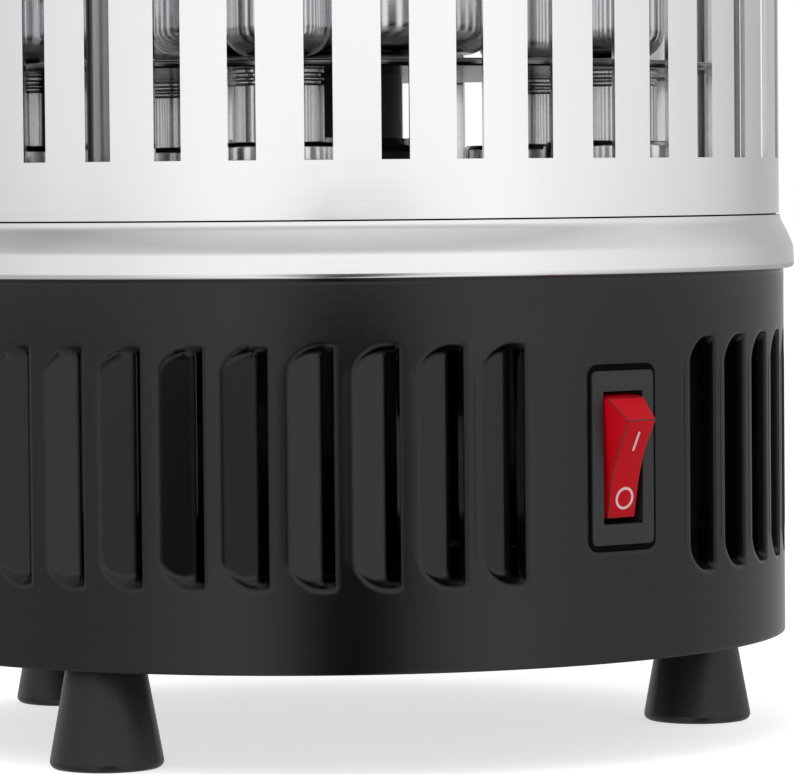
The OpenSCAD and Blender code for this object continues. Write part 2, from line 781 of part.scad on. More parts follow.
module cup_tray() {
    color("#b9bbbe") difference() {
        translate([0, 0, hub_top]) rotate_extrude() polygon(concat(
            [[pedestal_r + seat, 0]],
            arc(tray_r - tray_t / 2, tray_t / 2, tray_t / 2, -90, 90, 6),
            [[pedestal_r + seat, tray_t]]
        ));
        for (k = [0:4]) at(station_az(k), station_r) translate([0, 0, hub_top - 1])
            cylinder(r = spindle_r + 1, h = 4);
    }
}

module cup(k) {
    color("#d2d4d6") at(station_az(k), station_r) translate([0, 0, cup_z]) difference() {
        union() {
            rotate_extrude() polygon(concat(
                [[0, 0]],
                arc(cup_r - cup_edge, cup_edge, cup_edge, -90, 0, 6),
                [[cup_r, cup_h - 1]],
                arc(cup_r, cup_h - 0.5, 0.5, -90, 90, 4),
                [[cup_r - cup_t, cup_h]],
                arc(cup_r - cup_edge, cup_edge, cup_edge - cup_t, 0, -90, 6),
                [[0, cup_t]]
            ));
            translate([0, 0, cup_t / 2])
                cylinder(r = boss_r, h = socket_floor + socket_h - cup_z - cup_t / 2);
        }
        translate([-square / 2 - seat, -square / 2 - seat, -1])
            cube([square + 2 * seat, square + 2 * seat, square_h + 1 + seat]);
        translate([-skewer_square / 2 - seat, -skewer_square / 2 - seat, socket_floor - cup_z])
            cube([skewer_square + 2 * seat, skewer_square + 2 * seat, socket_h + 1]);
    }
}

module skewer(k) {
    color("#cfd1d4") at(station_az(k), station_r) {
        translate([-skewer_square / 2, -skewer_square / 2, skewer_z])
            cube([skewer_square, skewer_square, socket_h + 8]);
        translate([0, 0, skewer_z + socket_h + 7]) cylinder(r = rod_r, h = rod_l - socket_h - 7);
        translate([0, 0, rod_top + loop_r]) rotate([90, 0, 0]) rotate_extrude()
            translate([loop_r, 0]) circle(rod_r);
    }
}

// ---- Heater ----

module heater_pedestal() {
    color("#3a3a3d") translate([0, 0, deck_top]) difference() {
        rotate_extrude() polygon([
            [column_bore, 0], [ped_foot_r, 0], [ped_foot_r, ped_foot_h - 1.2], [ped_foot_r - 1, ped_foot_h],
            [pedestal_r + ped_step, ped_foot_h], [pedestal_r, ped_foot_h + 1.4],
            [pedestal_r, pedestal_h - 1], [pedestal_r - 1, pedestal_h],
            [cap_r + seat, pedestal_h], [cap_r + seat, pedestal_h - cap_sunk],
            [column_bore, pedestal_h - cap_sunk]
        ]);
        for (k = [0:2]) at(120 * k, ped_screw_at) translate([0, 0, -1]) cylinder(r = ped_screw_r, h = 6);
    }
}

module pedestal_screws() {
    color("#c9ccd0") for (k = [0:2]) at(120 * k, ped_screw_at) translate([0, 0, deck_top + ped_foot_h])
        mirror([0, 0, 1]) {
            cylinder(r = ped_screw_r, h = ped_foot_h + deck_t + 2);
            translate([0, 0, -ped_head_h]) cylinder(r = ped_head_r, h = ped_head_h);
        }
}

module heater_dish() {
    // Polished bowl round the pedestal, on a foot pressed down from its bottom
    wall = 0.8;
    edge = 5;
    foot_out = dish_r - edge - 5;
    color("#d2d4d6") translate([0, 0, tray_top]) rotate_extrude() polygon(concat(
        [[pedestal_r + seat, 0], [foot_out, 0], [foot_out + 0.8, dish_foot]],
        arc(dish_r - edge, dish_foot + edge, edge, -90, 0, 6),
        [[dish_r, dish_h - 1]],
        arc(dish_r, dish_h - 0.5, 0.5, -90, 90, 4),
        [[dish_r - wall, dish_h]],
        arc(dish_r - edge, dish_foot + edge, edge - wall, 0, -90, 6),
        [[foot_out, dish_foot + wall], [foot_out - 0.8, wall], [pedestal_r + seat, wall]]
    ));
}

module lower_cap() {
    color("#efece2") translate([0, 0, lower_cap_z]) rotate_extrude() polygon([
        [lead_hole, 0], [cap_r, 0], [cap_r, lower_cap_h - 2], [cap_r - 1.5, lower_cap_h],
        [quartz_r + seat, lower_cap_h], [quartz_r + seat, lower_cap_h - tube_in_cap],
        [lead_hole, lower_cap_h - tube_in_cap]
    ]);
}

module upper_cap() {
    color("#efece2") translate([0, 0, upper_cap_z]) rotate_extrude() polygon([
        [quartz_r + seat, 0], [cap_r - 1.5, 0], [cap_r, 2], [cap_r, upper_cap_h],
        [upper_nose_r, upper_cap_h], [upper_nose_r, upper_cap_h + upper_nose_h - 1],
        [upper_nose_r - 1, upper_cap_h + upper_nose_h], [0, upper_cap_h + upper_nose_h],
        [0, tube_in_cap], [quartz_r + seat, tube_in_cap]
    ]);
}

module quartz_tube() {
    color("#d9e0e2", 0.5) translate([0, 0, quartz_z])
        tube(quartz_r, quartz_r - quartz_t, quartz_top - quartz_z);
}

module ceramic_core() {
    color("#e9e4d6") translate([0, 0, quartz_z]) difference() {
        tube(core_r, core_bore, quartz_top - quartz_z);
        // Notched at both ends, where the wire passes between the bore and the outside
        for (z = [-1, quartz_top - quartz_z - core_notch])
            translate([0, -core_r - 1, z]) cube([core_r + 1, 2 * core_r + 2, core_notch + 1]);
    }
}

// One unbroken wire: up from the cap, round the core, and back down through its bore
coil_low = quartz_z + coil_end;
coil_high = quartz_top - coil_end;
function coil_point(t) = [
    coil_r * cos(360 * t), coil_r * sin(360 * t), coil_low + (coil_high - coil_low) * t / coil_turns
];
coil_path = concat(
    [[lead_x, 0, lower_cap_z - 4], [lead_x, 0, quartz_z], [lead_x + 1.2, 0, quartz_z + 1.6],
     [coil_r - 0.6, 0, quartz_z + 2.2], [coil_r, 0, quartz_z + 4]],
    [for (j = [0:coil_steps * coil_turns]) coil_point(j / coil_steps)],
    [[coil_r, 0.3, quartz_top - 4], [coil_r - 0.6, 0, quartz_top - 2.2], [lead_x, 0, quartz_top - 1.6],
     [0, 0, quartz_top - 2.2], [-return_x, 0, quartz_top - 4], [-return_x, 0, lower_cap_z - 4]]
);
// Least gap of the wire to itself, from each point of its path to every stretch not next to it
function off_line(p, a, b) =
    let (u = b - a, t = max(0, min(1, (p - a) * u / (u * u)))) norm(p - a - t * u);
module heating_coil() {
    last = len(coil_path) - 2;
    gap = min([
        for (i = [0:last + 1], j = [0:last])
        if (j > i + 2 || j < i - 3) off_line(coil_path[i], coil_path[j], coil_path[j + 1]) - 2 * coil_wire
    ]);
    echo("Least gap of the heating wire to itself, mm", gap);
    color("#9a6a4a") wire(coil_path, coil_wire, 6);
}

// ---- Holder ----

module holder_posts() {
    color("#b4b6b9") for (az = post_azs) at(az, post_at) {
        translate([0, 0, deck_top]) cylinder(r = post_r, h = holder_z - deck_top);
        translate([0, 0, deck_z - 4.5]) cylinder(r = post_spigot, h = deck_t + 4.5 + eps);
        translate([0, 0, holder_z - eps]) cylinder(r = post_spigot, h = holder_t + 4);
    }
}

module skewer_holder() {
    color("#b9bbbe") translate([0, 0, holder_z]) difference() {
        cylinder(r = holder_r, h = holder_t);
        translate([0, 0, -1]) cylinder(r = upper_nose_r + seat, h = 5);
        for (k = [0:4]) at(station_az(k), station_r) {
            translate([0, 0, -1]) cylinder(r = notch_w / 2, h = 5);
            translate([-notch_w / 2, -40, -1]) cube([notch_w, 40, 5]);
        }
        for (az = post_azs) at(az, post_at) translate([0, 0, -1]) cylinder(r = post_spigot, h = 5);
    }
}

module holder_nuts() {
    color("#c9ccd0") for (az = post_azs) at(az, post_at) {
        translate([0, 0, holder_z + holder_t]) difference() {
            union() {
                cylinder(r = nut_r, h = nut_h, $fn = 6);
                translate([0, 0, nut_h - eps]) cylinder(r = post_spigot + 0.8, h = 2.4);
            }
            translate([0, 0, -1]) cylinder(r = post_spigot, h = 5);
        }
        translate([0, 0, deck_z - nut_h]) difference() {
            cylinder(r = nut_r, h = nut_h, $fn = 6);
            translate([0, 0, -1]) cylinder(r = post_spigot, h = 8);
        }
    }
}

// ---- Casing ----

module casing() {
    color("#dcdddf") difference() {
        union() {
            translate([0, 0, casing_bottom]) tube(casing_r, casing_in, casing_h);
            // Lapped seam at the back, between the first and the last slot column
            intersection() {
                translate([0, 0, deck_top + 2]) tube(casing_in + 0.2, casing_in - casing_t, casing_h - 20);
                at(seam_az, casing_in) translate([-seam_w / 2, -3, casing_bottom])
                    cube([seam_w, 6, casing_h]);
            }
        }
        for (k = [0:slot_n - 1], row = [0:slot_rows - 1])
            at(slot_az0 + slot_pitch * (k - slots_left), casing_r)
                translate([-slot_w / 2, -2, casing_bottom + slot_low + row * (slot_h + slot_band)])
                    cube([slot_w, 6, slot_h]);
    }
}

module top_rim() {
    color("#c9cacc") translate([0, 0, rim_z]) rotate_extrude() polygon(concat(
        [[casing_r + seat, 0]],
        arc(casing_r + 3.2, 0, 2.9, 180, 128, 5),
        arc(rim_r - 3.5, rim_h - 4, 3.5, -46, -5, 5),
        arc(rim_r - 1, rim_h - 1, 1, 0, 90, 4),
        [[rim_in, rim_h], [rim_in, rim_grip], [casing_r + seat, rim_grip]]
    ));
}

module top_cover() {
    // Domed outside a flat middle that the knob stands on
    flat = knob_neck_r + 3;
    inner = cover_r - 2;
    function rise(r, out) = 1 - pow((r - flat) / (out - flat), 2);
    color("#2c2c2e") translate([0, 0, cover_z]) difference() {
        rotate_extrude() polygon(concat(
            [[0, dome_h - cover_t]],
            [for (i = [0:8]) let (r = flat + (inner - flat) * i / 8)
                [r, (dome_h - cover_t) * rise(r, inner)]],
            [[cover_r, 0]],
            [for (i = [8:-1:0]) let (r = flat + (cover_r - flat) * i / 8)
                [r, cover_t + (dome_h - cover_t) * rise(r, cover_r)]],
            [[0, dome_h]]
        ));
        for (k = [0:11]) at(30 * k + 15, cover_r - vent_inset) translate([-vent_w / 2, 0, -1])
            cube([vent_w, vent_l, dome_h + 4]);
        translate([0, 0, -1]) cylinder(r = 2.2, h = dome_h + 4);
    }
}

module knob() {
    color("#19191b") translate([0, 0, knob_z]) difference() {
        rotate_extrude() polygon(concat(
            [[0, 0], [knob_neck_r + 2, 0], [knob_neck_r, 2], [knob_neck_r, knob_neck_h]],
            arc(knob_r - 3, knob_neck_h + 3, 3, -90, 0, 5),
            arc(knob_r - 4, knob_neck_h + knob_h - 4, 4, 0, 80, 6),
            [[0, knob_neck_h + knob_h]]
        ));
        translate([0, 0, -1]) cylinder(r = 2, h = 13);
    }
}

module knob_screw() {
    color("#8a8d90") translate([0, 0, knob_z - cover_t]) {
        cylinder(r = 2, h = 10);
        translate([0, 0, -2.2]) cylinder(r = 4, h = 2.2);
    }
}

// ---- Switch ----

module in_switch() {
    at(switch_az, base_r) translate([0, flat_d, drum_z + switch_mid]) children();
}

module switch_housing() {
    color("#1b1b1d") in_switch() difference() {
        union() {
            translate([0, -bezel_t, 0]) rounded_block(bezel_w - 1.6, bezel_h - 1.6, bezel_t, 1.2);
            translate([0, -bezel_t + 0.8, 0]) rounded_block(bezel_w, bezel_h, bezel_t - 0.8, 1.6);
            translate([-body_w / 2, -eps, -body_h / 2]) cube([body_w, body_d, body_h]);
        }
        translate([0, -bezel_t - 1, 0]) rounded_block(window_w, window_h, bezel_t + 1 + pivot_d, 0.8);
        translate([-window_w / 2, pivot_d, 0]) rotate([0, 90, 0]) cylinder(r = window_h / 2, h = window_w);
        translate([-body_w / 2 - 1, pivot_d, 0]) rotate([0, 90, 0])
            cylinder(r = trunnion_r + run, h = body_w + 2);
        switch_blades();
    }
}

module rocker() {
    // Drawn in its own middle position, then tipped so that the lower end is pressed in
    crest = rocker_dip + rocker_r * tan(rocker_slope);
    color("#c8202c") in_switch() translate([0, pivot_d, 0]) rotate([rocker_tip, 0, 0]) {
        translate([-rocker_w / 2, 0, 0]) rotate([0, 90, 0]) linear_extrude(rocker_w) intersection() {
            circle(rocker_r);
            polygon([
                [-rocker_r, 3], [-rocker_r, -crest], [0, -rocker_dip], [rocker_r, -crest], [rocker_r, 3]
            ]);
        }
        translate([-rocker_w / 2 - rocker_gap - trunnion_l, 0, 0]) rotate([0, 90, 0])
            cylinder(r = trunnion_r, h = rocker_w + 2 * (rocker_gap + trunnion_l));
    }
}

module switch_blades() {
    for (k = [-1:1])
        translate([-blade_w / 2, body_d - 2, k * blade_pitch - blade_t / 2])
            cube([blade_w, blade_l + 2, blade_t]);
}

module switch_terminals() {
    color("#c9a86a") in_switch() switch_blades();
}

base_drum();
bottom_plate();
foot(0);  // foot_1
foot(1);  // foot_2
foot(2);  // foot_3
foot_screws();
tie_pillars();
pillar_screws();
inlet_grommet();
terminal_block();
gear_plate();
gear_motor();
motor_screws();
motor_pinion();
sun_gear();
planet_gear(0);  // planet_gear_1
planet_gear(1);  // planet_gear_2
planet_gear(2);  // planet_gear_3
planet_gear(3);  // planet_gear_4
planet_gear(4);  // planet_gear_5
spindle(0);  // spindle_1
spindle(1);  // spindle_2
spindle(2);  // spindle_3
spindle(3);  // spindle_4
spindle(4);  // spindle_5
spindle_bushes();
spindle_hubs();
heater_column();
collar();
deck();
cup_tray();
cup(0);  // cup_1
cup(1);  // cup_2
cup(2);  // cup_3
cup(3);  // cup_4
cup(4);  // cup_5
skewer(0);  // skewer_1
skewer(1);  // skewer_2
skewer(2);  // skewer_3
skewer(3);  // skewer_4
skewer(4);  // skewer_5
heater_pedestal();
pedestal_screws();
heater_dish();
lower_cap();
upper_cap();
quartz_tube();
ceramic_core();
heating_coil();
holder_posts();
skewer_holder();
holder_nuts();
casing();
top_rim();
top_cover();
knob();
knob_screw();
switch_housing();
rocker();
switch_terminals();
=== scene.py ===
# Electric skewer grill: finishes, fine pieces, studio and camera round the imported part.
import json
import math

import bpy
import bmesh
from mathutils import Matrix, Vector


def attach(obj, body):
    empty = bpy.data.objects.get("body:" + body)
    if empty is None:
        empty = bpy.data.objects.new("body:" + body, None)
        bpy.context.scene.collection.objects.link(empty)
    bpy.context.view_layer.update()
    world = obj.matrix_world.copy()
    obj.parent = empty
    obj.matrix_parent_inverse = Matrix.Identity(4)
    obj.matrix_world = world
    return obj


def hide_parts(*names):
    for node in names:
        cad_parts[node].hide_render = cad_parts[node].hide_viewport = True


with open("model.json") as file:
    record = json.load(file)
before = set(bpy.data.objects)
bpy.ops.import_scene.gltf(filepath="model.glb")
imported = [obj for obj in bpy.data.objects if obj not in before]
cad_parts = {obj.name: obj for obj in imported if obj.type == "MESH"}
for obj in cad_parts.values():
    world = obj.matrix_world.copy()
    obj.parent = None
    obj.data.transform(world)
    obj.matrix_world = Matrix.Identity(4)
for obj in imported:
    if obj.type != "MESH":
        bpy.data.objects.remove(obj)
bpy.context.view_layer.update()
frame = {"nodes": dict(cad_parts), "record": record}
nodes = frame["nodes"]
mm = 0.001                    # in metres
tiny = 0.01                   # two places this near each other, in mm, count as one
wrapRadius = 87 * mm          # radius at which a grain's length along the turn is measured


# Finishes, each named for what the real one is, but for those that carry painted shade
def hexColour(code):
    # sRGB hex to the linear values that the shaders want
    levels = [int(code[i:i + 2], 16) / 255 for i in (1, 3, 5)]
    return [v / 12.92 if v <= 0.04045 else ((v + 0.055) / 1.055) ** 2.4 for v in levels] + [1.0]


def addNode(tree, kind, values=None, links=None, **settings):
    node = tree.nodes.new(kind)
    for name, value in settings.items():
        setattr(node, name, value)
    for socket, value in (values or {}).items():
        node.inputs[socket].default_value = value
    for socket, source in (links or {}).items():
        tree.links.new(source, node.inputs[socket])
    return node


def newFinish(name, colour, metallic, roughness, **sockets):
    material = bpy.data.materials.new(name)
    material.use_nodes = True
    tree = material.node_tree
    shader = tree.nodes["Principled BSDF"]
    shader.inputs["Base Color"].default_value = hexColour(colour)
    shader.inputs["Metallic"].default_value = metallic
    shader.inputs["Roughness"].default_value = roughness
    for socket, value in sockets.items():
        shader.inputs[socket.replace("_", " ")].default_value = value
    return material, tree, shader


def onObject(tree):
    return addNode(tree, "ShaderNodeTexCoord").outputs["Object"]


def roundCoordinates(tree, around, outwards, upwards):
    # Object coordinates bent round the Z axis: along the turn, out and up, each in grains to the metre
    parts = addNode(tree, "ShaderNodeSeparateXYZ", links={0: onObject(tree)})
    angle = addNode(tree, "ShaderNodeMath", links={0: parts.outputs["X"], 1: parts.outputs["Y"]},
                    operation="ARCTAN2")
    flat = addNode(tree, "ShaderNodeCombineXYZ", links={"X": parts.outputs["X"], "Y": parts.outputs["Y"]})
    radius = addNode(tree, "ShaderNodeVectorMath", links={0: flat.outputs[0]}, operation="LENGTH")
    along = addNode(tree, "ShaderNodeMath", {1: around * wrapRadius}, {0: angle.outputs[0]},
                    operation="MULTIPLY")
    out = addNode(tree, "ShaderNodeMath", {1: outwards}, {0: radius.outputs["Value"]}, operation="MULTIPLY")
    up = addNode(tree, "ShaderNodeMath", {1: upwards}, {0: parts.outputs["Z"]}, operation="MULTIPLY")
    return addNode(tree, "ShaderNodeCombineXYZ", links={
        "X": along.outputs[0], "Y": out.outputs[0], "Z": up.outputs[0]}).outputs[0]


def spread(tree, source, low, high, fromLow=0.3, fromHigh=0.7):
    return addNode(tree, "ShaderNodeMapRange", {
        "From Min": fromLow, "From Max": fromHigh, "To Min": low, "To Max": high},
        {"Value": source}).outputs[0]


# Stainless sheet, bright annealed and rolled: a soft mirror, nearly plain, with faint rolling streaks
# round it, 83 mm long and 1.4 mm apart, and a slight clouding in patches of 45 mm
casingSteel, tree, shader = newFinish("BrightAnnealedSteel", "#f8f8f9", 1.0, 0.09)
streaks = addNode(tree, "ShaderNodeTexNoise", {"Scale": 1.0, "Detail": 3.0},
                  {"Vector": roundCoordinates(tree, 12, 400, 700)})
cloud = addNode(tree, "ShaderNodeTexNoise", {"Scale": 22.0, "Detail": 2.0}, {"Vector": onObject(tree)})
mixed = addNode(tree, "ShaderNodeMath", links={0: streaks.outputs[0], 1: cloud.outputs[0]}, operation="ADD")
tree.links.new(spread(tree, mixed.outputs[0], 0.08, 0.1, 0.7, 1.3), shader.inputs["Roughness"])
bump = addNode(tree, "ShaderNodeBump", {"Strength": 0.03, "Distance": 0.02 * mm},
               {"Height": streaks.outputs[0]})
tree.links.new(bump.outputs[0], shader.inputs["Normal"])

# Spun aluminium, satin: fine turning lines round it, drawn 0.35 mm apart so that they show
ringMetal, tree, shader = newFinish("SatinSpunAluminium", "#f2f2f3", 1.0, 0.12)
lines = addNode(tree, "ShaderNodeTexNoise", {"Scale": 1.0, "Detail": 2.0},
                {"Vector": roundCoordinates(tree, 9, 2800, 2800)})
tree.links.new(spread(tree, lines.outputs[0], 0.09, 0.15), shader.inputs["Roughness"])
bump = addNode(tree, "ShaderNodeBump", {"Strength": 0.12, "Distance": 0.03 * mm},
               {"Height": lines.outputs[0]})
tree.links.new(bump.outputs[0], shader.inputs["Normal"])

# Black enamel baked on steel: deep black under a gloss that is slightly dimpled like orange peel, with
# dimples 1.4 mm wide. It runs together on pressed edges, so that they look rounded by about a millimetre
enamel, tree, shader = newFinish("BlackStovedEnamel", "#090909", 0.0, 0.11, IOR=1.5)
place = onObject(tree)
peel = addNode(tree, "ShaderNodeTexNoise", {"Scale": 700.0, "Detail": 2.0}, {"Vector": place})
drift = addNode(tree, "ShaderNodeTexNoise", {"Scale": 30.0, "Detail": 3.0}, {"Vector": place})
tree.links.new(spread(tree, drift.outputs[0], 0.09, 0.13), shader.inputs["Roughness"])
rounded = addNode(tree, "ShaderNodeBevel", {"Radius": 1.3 * mm}, samples=8)
bump = addNode(tree, "ShaderNodeBump", {"Strength": 0.1, "Distance": 0.03 * mm},
               {"Height": peel.outputs[0], "Normal": rounded.outputs[0]})
tree.links.new(bump.outputs[0], shader.inputs["Normal"])


def grainedFinish(name, colour, roughness, grain, depth, **sockets):
    # Moulded, fired, printed or painted: an even grain, its width and depth in mm
    material, tree, shader = newFinish(name, colour, 0.0, roughness, **sockets)
    pits = addNode(tree, "ShaderNodeTexNoise", {"Scale": 1 / (grain * mm), "Detail": 2.0},
                   {"Vector": onObject(tree)})
    tree.links.new(spread(tree, pits.outputs[0], roughness - 0.04, roughness + 0.06),
                   shader.inputs["Roughness"])
    bump = addNode(tree, "ShaderNodeBump", {"Strength": 0.25, "Distance": depth * mm},
                   {"Height": pits.outputs[0]})
    tree.links.new(bump.outputs[0], shader.inputs["Normal"])
    return material


def workedMetal(name, colour, roughness, grain, depth, stretch=(1, 1, 1), uneven=0.2, blend=0):
    # Metal with a grain, its width and depth in mm, drawn out where stretch is under 1. Its gloss varies
    # by the share uneven, and one surface runs into the next over blend mm
    material, tree, shader = newFinish(name, colour, 1.0, roughness)
    drawn = addNode(tree, "ShaderNodeMapping", {"Scale": stretch}, {"Vector": onObject(tree)})
    marks = addNode(tree, "ShaderNodeTexNoise", {"Scale": 1 / (grain * mm), "Detail": 3.0},
                    {"Vector": drawn.outputs[0]})
    tree.links.new(spread(tree, marks.outputs[0], roughness * (1 - uneven), roughness * (1 + uneven)),
                   shader.inputs["Roughness"])
    bump = addNode(tree, "ShaderNodeBump", {"Strength": 0.2, "Distance": depth * mm},
                   {"Height": marks.outputs[0]})
    if blend:
        soft = addNode(tree, "ShaderNodeBevel", {"Radius": blend * mm}, samples=8)
        tree.links.new(soft.outputs[0], bump.inputs["Normal"])
    tree.links.new(bump.outputs[0], shader.inputs["Normal"])
    return material


footPlastic = grainedFinish("MouldedBlackAbs", "#0d0d0e", 0.3, 0.5, 0.02)         # half glossy
knobPlastic = grainedFinish("MouldedBlackPhenolic", "#101011", 0.24, 0.6, 0.02)   # hard, so glossier
switchPlastic = grainedFinish("MouldedBlackNylon", "#28292a", 0.5, 0.4, 0.02)     # a dull grey black
# a thin seal in the joint, made near-black with next to no shine as painted shade, so that the gap round the
# bezel shows as a shadowed groove
shadeSealRubber = grainedFinish("PaintedShadeSealRubber", "#030303", 0.8, 0.4, 0.02, Specular_IOR_Level=0.1)
# dyed right through: a strong red with a weak, soft shine; its rounded edges carry painted shade, a darker
# copy of the red
rockerPlastic = grainedFinish("TintedRedPolycarbonate", "#d20a1c", 0.36, 0.6, 0.04, Specular_IOR_Level=0.12)
# painted shade: a darker copy of the red for the rocker's rounded edges
edgeShadePlastic = grainedFinish("TintedRedPaintedEdgeShade", "#6d0a10", 0.3, 0.7, 0.01)
markInk = grainedFinish("WhitePadInk", "#f3cfd2", 0.5, 0.3, 0.01)                 # thin, so the red warms it
gearNylon = grainedFinish("NaturalNylon", "#e6e0cc", 0.45, 0.7, 0.02)             # creamy, half dull
ceramic = grainedFinish("UnglazedSteatite", "#ece6d8", 0.75, 0.5, 0.04)           # off-white and dry
rubber = grainedFinish("BlackRubber", "#161616", 0.6, 0.4, 0.03)                  # dull black
deckPaint = grainedFinish("HeatproofBlackPaint", "#38383a", 0.45, 0.7, 0.03)      # dull, more grey than black

# polished to a mirror, with walls that run together where they meet
cupSteel = workedMetal("PolishedStainlessSteel", "#e2e3e5", 0.1, 1.6, 0.0001, uneven=0.03, blend=1.2)
traySteel = workedMetal("PressedStainlessSheet", "#77787a", 0.18, 3.0, 0.004)     # grey, a little wavy
paintedShadeSteel = workedMetal("PaintedShadeBlackSteel", "#101011", 0.6, 0.6, 0.01)       # painted shade: black with little shine, put where the real parts stand in shade
# drawing marks run up the rods
postSteel = workedMetal("DrawnBrightSteel", "#9b9c9e", 0.22, 0.8, 0.002, (1, 1, 0.03))
# turning lines run round the hubs, so the grain is drawn out level
hubSteel = workedMetal("TurnedBrightSteel", "#ecedef", 0.14, 0.6, 0.0001, (0.02, 0.02, 1), 0.05, 0.5)
zincSteel = workedMetal("BrightZincPlate", "#c9ccd0", 0.28, 2.5, 0.008)           # cool silver, mottled
bronze = workedMetal("SinteredBronze", "#b08a5a", 0.5, 0.3, 0.03)                 # brown and grainy
brass = workedMetal("StampedBrass", "#d4b26a", 0.3, 1.0, 0.01)                    # yellow, half glossy
coilWire = workedMetal("OxidisedResistanceWire", "#7d6555", 0.55, 0.5, 0.01)      # brown scale, dull

# Fused quartz: clear, colourless glass with smooth walls
quartz = newFinish("FusedQuartz", "#ffffff", 0.0, 0.03, IOR=1.46, Transmission_Weight=1.0)[0]

finishes = {
    "black_enamel": enamel, "polished_steel": cupSteel, "satin_steel": ringMetal, "bright_sheet": traySteel,
    "zinc_steel": zincSteel, "foot_plastic": footPlastic, "dark_deck": deckPaint, "hub_steel": hubSteel,
    "gear_nylon": gearNylon, "bronze": bronze, "ceramic": ceramic, "quartz": quartz, "coil_wire": coilWire,
    "knob_plastic": knobPlastic, "switch_black": switchPlastic, "rocker_red": rockerPlastic,
    "blade_brass": brass, "rubber_black": rubber,
}
# painted shade: what stands behind the louvres takes a black finish in place of its own, so that the openings
# stay dark as shade keeps them
shadedBehindLouvres = ("tie_pillars", "pillar_screws", "gear_motor", "motor_screws", "gear_plate", "bottom_plate",
                 "terminal_block")
byNode = {entry["node"]: finishes[entry["material_slot"]] for entry in frame["record"]["subparts"]}
byNode["casing"] = casingSteel
byNode["holder_posts"] = postSteel
for name in shadedBehindLouvres:
    byNode[name] = paintedShadeSteel
for name, finish in byNode.items():
    for held in nodes[name].material_slots:
        held.material = finish
print("finishes on the CAD nodes:", len(nodes))


# Tools for the fine pieces, which are drawn in millimetres
def addPiece(name, bm, finish, body, slot, *stoodFor, sharp=32):
    # A shape in millimetres becomes a piece in metres, smooth but for its sharp edges
    bmesh.ops.scale(bm, vec=(mm, mm, mm), verts=bm.verts)
    mesh = bpy.data.meshes.new(name)
    bm.to_mesh(mesh)
    bm.free()
    mesh.polygons.foreach_set("use_smooth", [True] * len(mesh.polygons))
    mesh.set_sharp_from_angle(angle=math.radians(sharp))
    mesh.materials.append(finish)
    piece = bpy.data.objects.new(name, mesh)
    bpy.context.scene.collection.objects.link(piece)
    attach(piece, body)
    if stoodFor:
        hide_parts(*stoodFor)
    return piece


def roundEdges(bm, edges, offset, segments):
    bmesh.ops.bevel(bm, geom=edges, offset=offset, segments=segments, affect="EDGES", profile=0.5,
                    material=-1)


def sharpEdges(bm, angle=0.5):
    # Edges at which the surface turns by more than the angle, in radians
    return [edge for edge in bm.edges if edge.is_manifold and edge.calc_face_angle() > angle]


def lengthAlongY(edge):
    return abs((edge.verts[0].co - edge.verts[1].co).y)


def thicken(bm, faces, move):
    # A closed body between the faces and a copy of them moved away
    grown = bmesh.ops.extrude_face_region(bm, geom=faces, use_keep_orig=True)
    bmesh.ops.translate(bm, vec=move,
                        verts=[item for item in grown["geom"] if isinstance(item, bmesh.types.BMVert)])
    bmesh.ops.recalc_face_normals(bm, faces=bm.faces)


def spinRound(bm, section, axis, steps):
    # A closed section of vertices spun into a ring
    sides = [bm.edges.new((section[i], section[(i + 1) % len(section)])) for i in range(len(section))]
    bmesh.ops.spin(bm, geom=section + sides, cent=(0, 0, 0), axis=axis, angle=2 * math.pi, steps=steps,
                   use_merge=True)


def arcPoints(centre, radius, start, end, count):
    angles = [math.radians(start + (end - start) * i / count) for i in range(count + 1)]
    return [(centre[0] + radius * math.cos(a), centre[1] + radius * math.sin(a)) for a in angles]


# Collar: a section spun once round, hollow at the casing and full at the bead
collar = {
    "low": 88.0, "height": 10.0,
    "bead": 90.0, "lip": 87.4,
    # slope from upright in degrees at each depth under the top, scaled to reach the bead
    "slopes": [(0, 1), (0.5, 12), (1.0, 24), (1.5, 31), (3.3, 28), (5.1, 24), (5.8, 14), (6.5, 4),
               (7.0, 2.5), (9.2, 2.5)],
    "slopeStep": 0.1,         # depth between two readings of the slope
    "edge": 0.75,             # rounding under the bead
    "edgeArc": (-80, -4, 6),  # where that rounding starts and ends in degrees, and its steps
    "edgeUp": 0.02,           # how far it stands off the underside
    "edgeGap": 0.06,          # least height of the face over it
    "under": 88.3,            # outer radius of the flat underside
    "brightEdge": 0.12,       # width of the top beside the lip that is kept out of the painted shade
    "seat": (86.6, 0.25),     # ring under the casing's edge
    "seatSlack": 0.1,         # how far inside the neck's wall a face may lie and still get the painted shade
    "neck": (84.7, 85.9), "neckHeight": 9.3, "neckEdge": 0.3,
    "steps": 256,
}
top = collar["low"] + collar["height"]
slopeStep = collar["slopeStep"]
depths = [slopeStep * i for i in range(int(collar["slopes"][-1][0] / slopeStep) + 1)]


def slopeAt(depth):
    for (low, start), (high, end) in zip(collar["slopes"], collar["slopes"][1:]):
        if depth <= high:
            return math.radians(start + (end - start) * (depth - low) / (high - low))
    return math.radians(collar["slopes"][-1][1])


